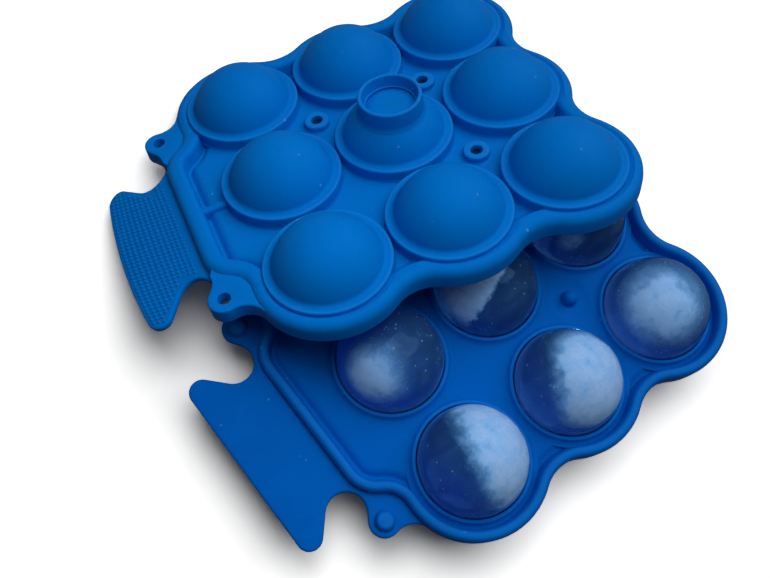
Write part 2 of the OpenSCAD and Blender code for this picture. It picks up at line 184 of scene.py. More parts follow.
def moulded_silicone(half):
    """Moulded silicone rubber: an even satin blue, faintly mottled, with lint; lighter at lips, partly for
    thin silicone's translucency and partly as a painted highlight on rounded tops; the base's copy is deeper
    as painted shade.
    """
    name = f"moulded_silicone_rubber_{half}"
    found = bpy.data.materials.get(name)
    if found:
        return found
    # The base's copy takes the deeper colour: painted shade on the same silicone
    colour = list(getattr(bpy.context.scene.ice_mold, f"{half}_silicone")) + [1.0]
    material, tree, out = new_material(name)
    place = add_node(tree, "ShaderNodeTexCoord").outputs["Object"]
    # Flow marks about 20 mm wide, the mould's fine blasted grain of 0.35 mm, and lint of about 0.5 mm
    flow = add_node(tree, "ShaderNodeTexNoise", {"Vector": place, "Scale": 1 / 0.020, "Detail": 3.0})
    grain = add_node(tree, "ShaderNodeTexNoise", {"Vector": place, "Scale": 1 / 0.00035, "Detail": 2.0})
    lint = add_node(tree, "ShaderNodeTexNoise", {"Vector": place, "Scale": 1 / 0.0022, "Detail": 1.0})
    # Lips and rounded tops shown lighter: partly thin translucent silicone, partly a painted highlight where
    # they catch the light
    lip = add_node(tree, "ShaderNodeAttribute", attribute_name="lip")
    mottled = add_node(tree, "ShaderNodeMix", {
        "Factor": flow.outputs["Fac"], "A": [c * 0.93 for c in colour[:3]] + [1.0],
        "B": [min(1.0, c * 1.06) for c in colour[:3]] + [1.0]}, data_type="RGBA")
    lit = add_node(tree, "ShaderNodeMath", {0: lip.outputs["Fac"], 1: 0.3}, operation="MULTIPLY")
    lip_highlight = add_node(tree, "ShaderNodeMix", {
        "Factor": lit.outputs[0], "A": mottled.outputs["Result"], "B": linear("#1E84D6")}, data_type="RGBA")
    specks = add_node(tree, "ShaderNodeMapRange", {
        "Value": lint.outputs["Fac"], "From Min": 0.785, "From Max": 0.81})
    speck_share = add_node(tree, "ShaderNodeMath", {
        0: specks.outputs["Result"], 1: 0.3}, operation="MULTIPLY")
    coloured = add_node(tree, "ShaderNodeMix", {
        "Factor": speck_share.outputs[0], "A": lip_highlight.outputs["Result"], "B": linear("#7FB4EA")},
        data_type="RGBA")
    rough = add_node(tree, "ShaderNodeMapRange", {
        "Value": flow.outputs["Fac"], "To Min": 0.46, "To Max": 0.58})
    bump = add_node(tree, "ShaderNodeBump", {
        "Height": grain.outputs["Fac"], "Strength": 0.12, "Distance": 0.00006})
    skin = add_node(tree, "ShaderNodeBsdfPrincipled", {
        "Base Color": coloured.outputs["Result"], "Roughness": rough.outputs["Result"],
        "Normal": bump.outputs["Normal"], "IOR": 1.41, "Specular IOR Level": 0.2,
        "Specular Tint": linear("#2090FF"),
        "Subsurface Weight": 0.25, "Subsurface Radius": (0.1, 0.3, 1.0), "Subsurface Scale": 0.003})
    tree.links.new(skin.outputs["BSDF"], out.inputs["Surface"])
    return material


def frozen_ice(name, centre, plane, offset, soft, blob, blob_r, blob_soft, frosted_rim):
    """Frozen water: clear and glassy, with a white cloud of fine bubbles beside a crack or in a blob."""
    cloud = list(bpy.context.scene.ice_mold.cloud) + [1.0]
    material, tree, out = new_material(name)
    place = add_node(tree, "ShaderNodeTexCoord").outputs["Object"]
    reach = BALL_R * MM
    # The ball's own unit coordinates
    unit = add_node(tree, "ShaderNodeMapping", {
        "Vector": place, "Location": [-c / reach for c in centre],
        "Scale": [1 / reach] * 3}).outputs["Vector"]
    # Waves of the cloud's edge about 8 mm long, wisps of 4 mm in it, and bubbles of about 0.8 mm that fray it
    waves = add_node(tree, "ShaderNodeTexNoise", {
        "Vector": unit, "Scale": BALL_R / 8, "Detail": 2.0, "Roughness": 0.55})
    wisps = add_node(tree, "ShaderNodeTexNoise", {
        "Vector": unit, "Scale": BALL_R / 4, "Detail": 4.0, "Roughness": 0.55, "Distortion": 0.3})
    bubbles = add_node(tree, "ShaderNodeTexNoise", {
        "Vector": unit, "Scale": BALL_R / 0.8, "Detail": 3.0, "Roughness": 0.7})
    fray, sway = 0.18, 0.3
    mean = (fray + sway) / 2
    frayed = add_node(tree, "ShaderNodeMath", {
        0: bubbles.outputs["Fac"], 1: fray}, operation="MULTIPLY")
    edge = add_node(tree, "ShaderNodeMath", {
        0: waves.outputs["Fac"], 1: sway, 2: frayed.outputs[0]}, operation="MULTIPLY_ADD")
    side = add_node(tree, "ShaderNodeVectorMath", {0: unit, 1: plane}, operation="DOT_PRODUCT")
    wavy = add_node(tree, "ShaderNodeMath", {0: side.outputs["Value"], 1: edge.outputs[0]}, operation="ADD")
    cut = add_node(tree, "ShaderNodeMapRange", {
        "Value": wavy.outputs[0], "From Min": offset + mean - soft, "From Max": offset + mean + soft},
        interpolation_type="SMOOTHSTEP")
    away = add_node(tree, "ShaderNodeVectorMath", {0: unit, 1: blob}, operation="DISTANCE")
    loose = add_node(tree, "ShaderNodeMath", {0: away.outputs["Value"], 1: edge.outputs[0]}, operation="ADD")
    ball = add_node(tree, "ShaderNodeMapRange", {
        "Value": loose.outputs[0], "From Min": blob_r + mean - blob_soft,
        "From Max": blob_r + mean + blob_soft, "To Min": 1.0, "To Max": 0.0},
        interpolation_type="SMOOTHSTEP")
    both = add_node(tree, "ShaderNodeMath", {
        0: cut.outputs["Result"], 1: ball.outputs["Result"]}, operation="MULTIPLY")
    # A clear skin near the parting line
    height = add_node(tree, "ShaderNodeSeparateXYZ", {"Vector": unit})
    level = add_node(tree, "ShaderNodeMath", {0: height.outputs["Z"]}, operation="ABSOLUTE")
    clear_skin = add_node(tree, "ShaderNodeMapRange", {
        "Value": level.outputs[0], "From Min": 0.08, "From Max": 0.42})
    core = add_node(tree, "ShaderNodeMath", {
        0: both.outputs[0], 1: clear_skin.outputs["Result"]}, operation="MULTIPLY")
    thick = add_node(tree, "ShaderNodeMapRange", {
        "Value": wisps.outputs["Fac"], "From Min": 0.3, "From Max": 0.65, "To Min": 0.5, "To Max": 1.0})
    white = add_node(tree, "ShaderNodeMath", {
        0: core.outputs[0], 1: thick.outputs["Result"]}, operation="MULTIPLY")
    # Thin veils in the clear part, fine scratches, and frost specks about 0.5 mm across in patches
    veil = add_node(tree, "ShaderNodeMapRange", {
        "Value": wisps.outputs["Fac"], "From Min": 0.45, "From Max": 0.75, "To Min": 0.0, "To Max": 0.04})
    scratches = add_node(tree, "ShaderNodeTexVoronoi", {
        "Vector": unit, "Scale": 2.1, "Randomness": 1.0}, feature="DISTANCE_TO_EDGE")
    scratch = add_node(tree, "ShaderNodeMapRange", {
        "Value": scratches.outputs["Distance"], "From Min": 0.0, "From Max": 0.012,
        "To Min": 0.14, "To Max": 0.0})
    scratch_zone = add_node(tree, "ShaderNodeMapRange", {
        "Value": waves.outputs["Fac"], "From Min": 0.5, "From Max": 0.6})
    scratch_line = add_node(tree, "ShaderNodeMath", {
        0: scratch.outputs["Result"], 1: scratch_zone.outputs["Result"]}, operation="MULTIPLY")
    frost = add_node(tree, "ShaderNodeTexVoronoi", {"Vector": unit, "Scale": BALL_R / 1.3, "Randomness": 1.0})
    speck = add_node(tree, "ShaderNodeMapRange", {
        "Value": frost.outputs["Distance"], "From Min": 0.1, "From Max": 0.2, "To Min": 0.9, "To Max": 0.0})
    speck_zone = add_node(tree, "ShaderNodeMapRange", {
        "Value": wisps.outputs["Fac"], "From Min": 0.52, "From Max": 0.62})
    speckle = add_node(tree, "ShaderNodeMath", {
        0: speck.outputs["Result"], 1: speck_zone.outputs["Result"]}, operation="MULTIPLY")
    # Frost on the skin near the parting line
    rim = add_node(tree, "ShaderNodeMapRange", {
        "Value": level.outputs[0], "From Min": 0.05, "From Max": 0.4, "To Min": frosted_rim, "To Max": 0.0})
    rime = add_node(tree, "ShaderNodeMath", {
        0: rim.outputs["Result"], 1: veil.outputs["Result"]}, operation="ADD")
    lines = add_node(tree, "ShaderNodeMath", {
        0: scratch_line.outputs[0], 1: speckle.outputs[0]}, operation="MAXIMUM")
    misty = add_node(tree, "ShaderNodeMath", {0: white.outputs[0], 1: rime.outputs[0]}, operation="MAXIMUM")
    frosted = add_node(tree, "ShaderNodeMath", {
        0: misty.outputs[0], 1: lines.outputs[0]}, operation="MAXIMUM")
    tint = add_node(tree, "ShaderNodeMix", {
        "Factor": frosted.outputs[0], "A": linear("#5CB0F8"), "B": cloud}, data_type="RGBA")
    see_through = add_node(tree, "ShaderNodeMapRange", {
        "Value": frosted.outputs[0], "From Max": 0.6, "To Min": 0.9, "To Max": 0.08})
    rough = add_node(tree, "ShaderNodeMapRange", {
        "Value": frosted.outputs[0], "From Min": 0.5, "To Min": 0.02, "To Max": 0.4})
    bump = add_node(tree, "ShaderNodeBump", {
        "Height": waves.outputs["Fac"], "Strength": 0.15, "Distance": 0.001})
    body = add_node(tree, "ShaderNodeBsdfPrincipled", {
        "Base Color": tint.outputs["Result"], "Roughness": rough.outputs["Result"],
        "Transmission Weight": see_through.outputs["Result"], "Normal": bump.outputs["Normal"],
        "IOR": 1.31, "Specular IOR Level": 0.4, "Specular Tint": linear("#8CC4FA")})
    tree.links.new(body.outputs["BSDF"], out.inputs["Surface"])
    return material


def wire(bm, corners, closed=False):
    """Joins section corners, given as (x, z, rounding), by edges and rounds them."""
    verts = [bm.verts.new((x, 0, z)) for x, z, _ in corners]
    ends = verts[1:] + verts[:1] if closed else verts[1:]
    for pair in zip(verts, ends):
        bm.edges.new(pair)
    for vert, (_, _, rounding) in zip(verts, corners):
        if rounding:
            bmesh.ops.bevel(
                bm, geom=[vert], offset=rounding, offset_type="OFFSET", segments=5, profile=0.5,
                affect="VERTICES", material=-1)


def arc(bm, vert, centre, degrees, steps, axis=(0, 1, 0)):
    """Draws an arc from a vertex about a centre and returns its last vertex."""
    turned = bmesh.ops.spin(
        bm, geom=[vert], cent=centre, axis=axis, angle=math.radians(degrees), steps=steps,
        use_duplicate=False)
    return next(e for e in turned["geom_last"] if isinstance(e, bmesh.types.BMVert))


def spin_round(bm, steps=96, centre=(0, 0, 0)):
    """Spins everything drawn so far once about the vertical and closes it."""
    bmesh.ops.spin(
        bm, geom=bm.verts[:] + bm.edges[:], cent=centre, axis=(0, 0, 1), angle=math.tau, steps=steps,
        use_merge=True, use_duplicate=False)
    bmesh.ops.remove_doubles(bm, verts=bm.verts[:], dist=0.002)
    bmesh.ops.dissolve_degenerate(bm, dist=0.001, edges=bm.edges[:])
    bmesh.ops.recalc_face_normals(bm, faces=bm.faces[:])


OUTLINE = [
    (CORNER_X, -CORNER_Y, EAR_CORNER_A),
    (EAR_X, -EAR_Y, -EAR_CORNER_A - EAR_LOBE_A),
    (-PITCH, -PITCH, 180 - VALLEY_A + EAR_LOBE_A),
    (-PITCH / 2, -PITCH - VALLEY_OUT, 2 * VALLEY_A - 180),
    (0, -PITCH, 180 - 2 * VALLEY_A),
    (PITCH / 2, -PITCH - VALLEY_OUT, 2 * VALLEY_A - 180),
    (PITCH, -PITCH, 270 - 2 * VALLEY_A),
    (PITCH + VALLEY_OUT, -PITCH / 2, 2 * VALLEY_A - 180),
    (PITCH, 0, 90 - VALLEY_A),
]


def sweep_outline(bm):
    """Sweeps everything drawn so far from mid-side along the front, and mirrors it to the back."""
    bmesh.ops.translate(bm, verts=bm.verts[:], vec=(SIDE_X, 0, 0))
    last = bm.verts[:] + bm.edges[:]
    moves = [((0, 0), 0.0, (0, -CORNER_Y / 6, 0), 6)]
    moves += [((x, y), turn, (0, 0, 0), math.ceil(abs(turn) / 4)) for x, y, turn in OUTLINE]
    for (x, y), turn, step, steps in moves:
        swept = bmesh.ops.spin(
            bm, geom=last, cent=(x, y, 0), axis=(0, 0, 1), dvec=step, angle=math.radians(turn), steps=steps,
            use_duplicate=False)
        last = [e for e in swept["geom_last"] if not isinstance(e, bmesh.types.BMFace)]
    bmesh.ops.mirror(
        bm, geom=bm.verts[:] + bm.edges[:] + bm.faces[:], matrix=Matrix.Identity(4), merge_dist=0.01,
        axis="Y")
    bmesh.ops.remove_doubles(bm, verts=bm.verts[:], dist=0.005)


def keep_off(bm, radius):
    """Pushes vertices that lie nearer than radius to the axis of a cup or dome out to that radius."""
    for vert in bm.verts:
        for x in COLUMNS.values():
            for y in ROWS.values():
                centre = Vector((x * PITCH, y * PITCH))
                away = vert.co.xy - centre
                if away.length < radius:
                    vert.co.xy = centre + away * radius / away.length


def finish_piece(bm, name, material, place, body=None, nodes=(), sharp=40, normals=True):
    """Puts a finished bmesh in its place in the frame as one object."""
    if normals:
        bmesh.ops.recalc_face_normals(bm, faces=bm.faces[:])
    bmesh.ops.transform(bm, matrix=place, verts=bm.verts[:])
    mesh = bpy.data.meshes.new(name)
    bm.to_mesh(mesh)
    bm.free()
    mesh.shade_smooth()
    mesh.set_sharp_from_angle(angle=math.radians(sharp))
    mesh.materials.append(material)
    piece = bpy.data.objects.new(name, mesh)
    bpy.context.scene.collection.objects.link(piece)
    if body:
        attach(piece, body)
    if nodes:
        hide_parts(*nodes)
    return piece


def mark_lip_highlight(bm, test):
    """Marks the vertices that pass a test as a lip, which the silicone shows lighter: partly for thin
    silicone's translucency, partly as a painted highlight where a rounded top catches the light.
    """
    layer = bm.verts.layers.float.get("lip") or bm.verts.layers.float.new("lip")
    for vert in bm.verts:
        if test(vert.co):
            vert[layer] = 1.0


class ICEMOLD_OT_lid_domes(bpy.types.Operator):
    """Nine half balls, each standing on a ring with a rounded lip"""

    bl_idname = "icemold.lid_domes"
    bl_label = "Lid domes"

    def execute(self, context):
        for c, x in COLUMNS.items():
            for r, y in ROWS.items():
                bm = bmesh.new()
                top = arc(bm, bm.verts.new((0, 0, DOME_UP + DOME_R)), (0, 0, DOME_UP), 67, 24)
                ledge = [
                    (top.co.x, top.co.z, 0), (DOME_FOOT_R, DOME_FOOT_Z, 1.3), (RING_R, RING_H, 0.8),
                    (RING_R, PLATE_Z + 0.5, 0.4), (RING_R + 0.4, PLATE_Z, 0),
                    (RING_R + 0.4, 0.6, 0), (RING_R, 0, 0.2), (CUP_R, 0, 0.15),
                    (CUP_R * math.cos(0.05), CUP_R * math.sin(0.05), 0)]
                wire(bm, ledge)
                bm.verts.ensure_lookup_table()
                end = min(bm.verts, key=lambda v: (v.co - Vector((ledge[-1][0], 0, ledge[-1][1]))).length)
                arc(bm, end, (0, 0, 0), math.degrees(0.05) - 90, 24)
                spin_round(bm, 96)
                if (c, r) == ("b", "2"):
                    # The floor inside the collar is flat
                    for vert in bm.verts:
                        if vert.co.xy.length < COLLAR_IN and vert.co.z > CUP_R + 0.05:
                            vert.co.z = min(vert.co.z, COLLAR_FLOOR)
                mark_lip_highlight(bm, lambda co: RING_H - 0.35 < co.z < RING_H + 0.1 and co.xy.length > 20.7)
                bmesh.ops.translate(bm, verts=bm.verts[:], vec=(x * PITCH, y * PITCH, 0))
                finish_piece(
                    bm, f"lid_dome_{c}{r}", moulded_silicone("lid"), LID, "lid", [f"dome_{c}{r}"],
                    normals=False)
        return {"FINISHED"}


class ICEMOLD_OT_lid_rim(bpy.types.Operator):
    """Rounded rim of the lid with the sealing channel under it"""

    bl_idname = "icemold.lid_rim"
    bl_label = "Lid rim"

    def execute(self, context):
        bm = bmesh.new()
        wire(bm, [
            (0.0, LEDGE_Z, 0.25), (0.0, RIM_H, RIM_ROUND), (6.6, RIM_H, 1.8), (7.3, GROOVE_Z, 0.5),
            (8.4, GROOVE_Z, 0.5), (GROOVE_TO, PLATE_Z + 0.02, 1.2), (GROOVE_TO + 1.4, PLATE_Z + 0.02, 0),
            (GROOVE_TO + 1.4, 0.1, 0), (CHANNEL_TO, 0, 0.2), (CHANNEL_TO, CHANNEL_H, 0.3),
            (CHANNEL_FROM, CHANNEL_H, 0.3), (CHANNEL_FROM, LEDGE_Z, 0.2)], closed=True)
        sweep_outline(bm)
        # A shallow groove between the rim and the lip of each ring
        for vert in bm.verts:
            for x in COLUMNS.values():
                for y in ROWS.values():
                    away = (vert.co.xy - Vector((x * PITCH, y * PITCH))).length
                    if away < RING_R + 1.6:
                        vert.co.z = min(vert.co.z, 5.4 + 0.7 * max(0.0, away - RING_R))
        keep_off(bm, 20.0)
        bmesh.ops.remove_doubles(bm, verts=bm.verts[:], dist=0.02)
        bmesh.ops.dissolve_degenerate(bm, dist=0.01, edges=bm.edges[:])
        nodes = [f"lid_rim_{s}" for s in ("side", "front", "end", "back")]
        finish_piece(bm, "lid_rim", moulded_silicone("lid"), LID, "lid", nodes)
        return {"FINISHED"}


class ICEMOLD_OT_lid_plate(bpy.types.Operator):
    """Flat plate of the lid between rim and rings"""

    bl_idname = "icemold.lid_plate"
    bl_label = "Lid plate"

    def execute(self, context):
        bm = bmesh.new()
        bm.verts.new((GROOVE_TO + 0.9, 0, 0.05))
        sweep_outline(bm)
        keep_off(bm, RING_R - 0.2)
        for x in COLUMNS.values():
            for y in ROWS.values():
                bmesh.ops.create_circle(
                    bm, segments=64, radius=RING_R - 0.4,
                    matrix=Matrix.Translation((x * PITCH, y * PITCH, 0.05)))
        for x, y in PLUGS:
            bmesh.ops.create_circle(
                bm, segments=32, radius=BOSS_R - 0.8, matrix=Matrix.Translation((x * PITCH, y * PITCH, 0.05)))
        bmesh.ops.triangle_fill(bm, use_beauty=True, edges=bm.edges[:])
        raised = bmesh.ops.extrude_face_region(bm, geom=bm.faces[:], use_keep_orig=True)
        top = [e for e in raised["geom"] if isinstance(e, bmesh.types.BMVert)]
        bmesh.ops.translate(bm, verts=top, vec=(0, 0, PLATE_Z - 0.05))
        nodes = [f"lid_plate_{i}" for i in range(1, 5)]
        finish_piece(bm, "lid_plate", moulded_silicone("lid"), LID, "lid", nodes)
        return {"FINISHED"}


class ICEMOLD_OT_lid_bosses(bpy.types.Operator):
    """Three round bosses with a hole and a socket for a pin"""

    bl_idname = "icemold.lid_bosses"
    bl_label = "Lid bosses"

    def execute(self, context):
        for i, (x, y) in enumerate(PLUGS, 1):
            bm = bmesh.new()
            wire(bm, [
                (BOSS_R + 0.7, PLATE_Z, 0), (BOSS_R, PLATE_Z + 0.1, 0.6), (BOSS_R, BOSS_TOP, 0.9),
                (BOSS_HOLE_R, BOSS_TOP, 0.5), (BOSS_HOLE_R, BOSS_SOCKET_TOP, 0.1),
                (BOSS_SOCKET_R, BOSS_SOCKET_TOP, 0.2),
                (BOSS_SOCKET_R, 0, 0.2), (BOSS_R, 0, 0), (BOSS_R + 0.7, 0.4, 0)], closed=True)
            spin_round(bm, 48)
            mark_lip_highlight(bm, lambda co: co.z > BOSS_TOP - 0.25)
            bmesh.ops.translate(bm, verts=bm.verts[:], vec=(x * PITCH, y * PITCH, 0))
            finish_piece(bm, f"lid_boss_{i}_ring", moulded_silicone("lid"), LID, "lid", [f"lid_boss_{i}"])
        return {"FINISHED"}


class ICEMOLD_OT_lid_collar(bpy.types.Operator):
    """Round collar with a bare floor on the middle dome"""

    bl_idname = "icemold.lid_collar"
    bl_label = "Lid collar"

    def execute(self, context):
        bm = bmesh.new()
        wire(bm, [
            (COLLAR_R + 0.9, 16.2, 0), (COLLAR_R + 0.1, 17.5, 0.7), (COLLAR_R - 0.2, COLLAR_TOP, 0.7),
            (COLLAR_IN + 0.2, COLLAR_TOP, 0.6), (COLLAR_IN - 0.3, COLLAR_FLOOR - 0.1, 0.3),
            (COLLAR_IN - 1.0, COLLAR_FLOOR - 0.2, 0),
            (COLLAR_IN, 16.9, 0)], closed=True)
        spin_round(bm, 80)
        mark_lip_highlight(bm, lambda co: co.z > COLLAR_TOP - 0.3)
        finish_piece(bm, "lid_collar_ring", moulded_silicone("lid"), LID, "lid", ["lid_collar"])
        return {"FINISHED"}


class ICEMOLD_OT_lid_rib(bpy.types.Operator):
    """Small rounded rib from the rim to the middle ring of the first column"""

    bl_idname = "icemold.lid_rib"
    bl_label = "Lid rib"

    def execute(self, context):
        bm = bmesh.new()
        start, stop = SIDE_X + 5.6, -PITCH - RING_R + 0.6
        wire(bm, [
            (-RIB_W / 2, GROOVE_Z, 0), (-RIB_W / 2, RIB_TOP, 1.3),
            (RIB_W / 2, RIB_TOP, 1.3), (RIB_W / 2, GROOVE_Z, 0)], closed=True)
        bmesh.ops.contextual_create(bm, geom=bm.edges[:])
        bmesh.ops.rotate(bm, verts=bm.verts[:], cent=(0, 0, 0), matrix=Matrix.Rotation(math.pi / 2, 3, "Z"))
        raised = bmesh.ops.extrude_face_region(bm, geom=bm.faces[:], use_keep_orig=True)
        far = [e for e in raised["geom"] if isinstance(e, bmesh.types.BMVert)]
        bmesh.ops.translate(bm, verts=far, vec=(stop - start, 0, 0))
        bmesh.ops.translate(bm, verts=bm.verts[:], vec=(start, 0, 0))
        finish_piece(bm, "lid_rib_bar", moulded_silicone("lid"), LID, "lid", ["lid_rib"])
        return {"FINISHED"}


def ear_loop(bm, inset, reach):
    """Draws the plan of the front ear, tucked under the rim by inset, and reach degrees of the hollow."""
    up = (0, 0, 1)
    web = math.radians(202)
    start = bm.verts.new((
        CORNER_X + (CORNER_R - inset) * math.cos(web), -CORNER_Y + (CORNER_R - inset) * math.sin(web), 0))
    v = arc(bm, start, (CORNER_X, -CORNER_Y, 0), EAR_CORNER_A - 22, 12, up)
    v = arc(bm, v, (EAR_X, -EAR_Y, 0), -EAR_CORNER_A - EAR_LOBE_A, 16, up)
    # A fillet between the round ear and the front of the rim: its centre from the three distances
    ear, lobe = EAR_R + FILLET_R, EDGE_R + FILLET_R
    span = EDGE_R + BAY_R
    at_ear = math.acos((ear ** 2 + span ** 2 - lobe ** 2) / (2 * ear * span))
    at_lobe = math.acos((lobe ** 2 + span ** 2 - ear ** 2) / (2 * lobe * span))
    low = math.radians(-EAR_LOBE_A) - at_ear
    side = math.radians(180 - EAR_LOBE_A) + at_lobe
    centre = (EAR_X + ear * math.cos(low), -EAR_Y + ear * math.sin(low), 0)
    v = arc(bm, v, (-PITCH, -PITCH, 0), math.degrees(at_lobe) + 3, 10, up)
    rim = bm.verts.new((-PITCH + EDGE_R * math.cos(side), -PITCH + EDGE_R * math.sin(side), 0))
    bm.edges.new((v, rim))
    v = arc(bm, rim, centre, math.degrees(low - side) + 360, 12, up)
    # The round ear, and a smooth S from it into the hollow beside the grip tab
    gap = Vector((NOTCH_X - EAR_X, EAR_Y - NOTCH_Y))
    turn = math.atan2(gap.y, gap.x) + math.acos((EAR_R + NOTCH_R) / gap.length)
    v = arc(bm, v, (EAR_X, -EAR_Y, 0), math.degrees(turn - low) - 360, 22, up)
    facing = turn - math.pi
    hollow = bm.verts.new((NOTCH_X + NOTCH_R * math.cos(facing), -NOTCH_Y + NOTCH_R * math.sin(facing), 0))
    bm.edges.new((v, hollow))
    v = arc(bm, hollow, (NOTCH_X, -NOTCH_Y, 0), reach - math.degrees(facing), 12, up)
    bm.edges.new((v, start))


def slab(bm, low, high, rounding):
    """Turns a closed plan loop into a slab with rounded upper and lower edges, and opens its two flats."""
    flat = bmesh.ops.contextual_create(bm, geom=bm.edges[:])["faces"][0]
    if flat.normal.z < 0:
        flat.normal_flip()
    bmesh.ops.translate(bm, verts=bm.verts[:], vec=(0, 0, low + rounding))
    raised = bmesh.ops.extrude_face_region(bm, geom=[flat], use_keep_orig=True)
    lid = next(e for e in raised["geom"] if isinstance(e, bmesh.types.BMFace))
    bmesh.ops.translate(bm, verts=lid.verts[:], vec=(0, 0, high - low - 2 * rounding))
    bmesh.ops.recalc_face_normals(bm, faces=bm.faces[:])
    steps = 4
    for face in (flat, lid):
        for i in range(steps):
            a, b = math.pi / 2 * i / steps, math.pi / 2 * (i + 1) / steps
            bmesh.ops.inset_region(
                bm, faces=[face], thickness=rounding * (math.cos(a) - math.cos(b)),
                depth=rounding * (math.sin(b) - math.sin(a)), use_even_offset=True)
    bmesh.ops.delete(bm, geom=[flat, lid], context="FACES_ONLY")


def fill_flats(bm, *levels):
    """Closes the open flats of a slab, round any hole in them."""
    for level in levels:
        ring = [e for e in bm.edges if e.is_boundary and all(abs(v.co.z - level) < 0.01 for v in e.verts)]
        bmesh.ops.triangle_fill(bm, use_beauty=True, edges=ring)


class ICEMOLD_OT_ears(bpy.types.Operator):
    """Ears at both ends of the straight side: with holes on the lid, with pegs on the base"""

    bl_idname = "icemold.ears"
    bl_label = "Ears and pegs"

    def execute(self, context):
        rounding = context.scene.ice_mold.tab_round / MM
        for back, end in enumerate(("front", "back")):
            turn = Matrix.Scale(-1, 4, (0, 1, 0)) if back else Matrix.Identity(4)
            bm = bmesh.new()
            ear_loop(bm, 0.85, 10)
            slab(bm, LEDGE_Z, EAR_TOP, 0.7 * rounding)
            before = set(bm.verts)
            wire(bm, [
                (EAR_HOLE_R + 0.3, EAR_TOP, 0), (EAR_HOLE_R, EAR_TOP - 0.1, 0.1),
                (EAR_HOLE_R, EAR_SOCKET_TOP, 0), (EAR_SOCKET_R, EAR_SOCKET_TOP, 0.2),
                (EAR_SOCKET_R, LEDGE_Z, 0)])
            liner = [v for v in bm.verts if v not in before]
            edges = [e for e in bm.edges if e.verts[0] not in before]
            bmesh.ops.translate(bm, verts=liner, vec=(EAR_X, -EAR_Y, 0))
            bmesh.ops.spin(
                bm, geom=liner + edges, cent=(EAR_X, -EAR_Y, 0), axis=(0, 0, 1), angle=math.tau, steps=40,
                use_merge=True, use_duplicate=False)
            bmesh.ops.remove_doubles(bm, verts=bm.verts[:], dist=0.002)
            fill_flats(bm, EAR_TOP, LEDGE_Z)
            bmesh.ops.transform(bm, matrix=turn, verts=bm.verts[:])
            finish_piece(bm, f"lid_ear_{end}_tab", moulded_silicone("lid"), LID, "lid", [f"lid_ear_{end}"])

            bm = bmesh.new()
            ear_loop(bm, 2.4, 32)
            low, high = LEDGE_Z - TAIL_T, LEDGE_Z - 0.03
            slab(bm, low, high, rounding)
            fill_flats(bm, low, high)
            bmesh.ops.transform(bm, matrix=turn, verts=bm.verts[:])
            finish_piece(
                bm, f"base_ear_{end}_tab", moulded_silicone("base"), BASE, "base", [f"base_ear_{end}"])

            bm = bmesh.new()
            wire(bm, [
                (0, LEDGE_Z - 0.5, 0), (PEG_R + 0.5, LEDGE_Z - 0.5, 0), (PEG_R + 0.5, LEDGE_Z, 0),
                (PEG_R, LEDGE_Z + 0.2, 0.5),
                (PEG_R - 0.2, PEG_TOP, 1.5), (0, PEG_TOP, 0)])
            spin_round(bm, 40)
            mark_lip_highlight(bm, lambda co: co.z > PEG_TOP - 0.1)
            bmesh.ops.translate(bm, verts=bm.verts[:], vec=(EAR_X, -EAR_Y, 0))
            bmesh.ops.transform(bm, matrix=turn, verts=bm.verts[:])
            finish_piece(
                bm, f"base_peg_{end}_stud", moulded_silicone("base"), BASE, "base", [f"base_peg_{end}"])
        return {"FINISHED"}


def tail_loop(bm, embed):
    """Draws the fish-tail plan of a grip tab, from its root inside the rim to its tips."""
    up = (0, 0, 1)
    root = bm.verts.new((SIDE_X + embed, 0, 0))
    corner = bm.verts.new((SIDE_X + embed, -NOTCH_Y + 6, 0))
    bm.edges.new((root, corner))
    begin = math.acos((SIDE_X - NOTCH_X) / NOTCH_R)
    v = bm.verts.new((NOTCH_X + NOTCH_R * math.cos(begin), -NOTCH_Y + NOTCH_R * math.sin(begin), 0))
    bm.edges.new((corner, v))
    tip_x = SIDE_X - TAIL_L + TIP_R
    gap = Vector((NOTCH_X - tip_x, NOTCH_Y - TIP_Y))
    join = math.asin((TIP_R + NOTCH_R) / gap.length) - math.atan2(gap.y, gap.x)
    v = arc(bm, v, (NOTCH_X, -NOTCH_Y, 0), math.degrees(join + math.pi / 2 - begin), 18, up)
    tip = bm.verts.new((tip_x + TIP_R * math.sin(join), -TIP_Y - TIP_R * math.cos(join), 0))
    bm.edges.new((v, tip))
    v = arc(bm, tip, (tip_x, -TIP_Y, 0), -math.degrees(join) - 90, 16, up)
    for i in range(1, 13):
        step = bm.verts.new((v.co.x, -TIP_Y * (1 - i / 12), 0))
        bm.edges.new((v, step))
        v = step
    bmesh.ops.mirror(bm, geom=bm.verts[:] + bm.edges[:], matrix=Matrix.Identity(4), merge_dist=0.01, axis="Y")
    bmesh.ops.remove_doubles(bm, verts=bm.verts[:], dist=0.005)


def in_tail(x, y, margin):
    """Whether a plan point lies in the grip tab, away from its edge by margin."""
    tip_x, y = SIDE_X - TAIL_L + TIP_R, abs(y)
    gap = Vector((NOTCH_X - tip_x, NOTCH_Y - TIP_Y))
    join = math.asin((TIP_R + NOTCH_R) / gap.length) - math.atan2(gap.y, gap.x)
    if not SIDE_X - TAIL_L + margin < x < SIDE_X - 2.6:
        return False
    if math.hypot(x - NOTCH_X, y - NOTCH_Y) < NOTCH_R + margin:
        return False
    if x <= tip_x and y > TIP_Y:
        return math.hypot(x - tip_x, y - TIP_Y) < TIP_R - margin
    return x > NOTCH_X or (x - tip_x) * math.sin(join) + (y - TIP_Y) * math.cos(join) < TIP_R - margin


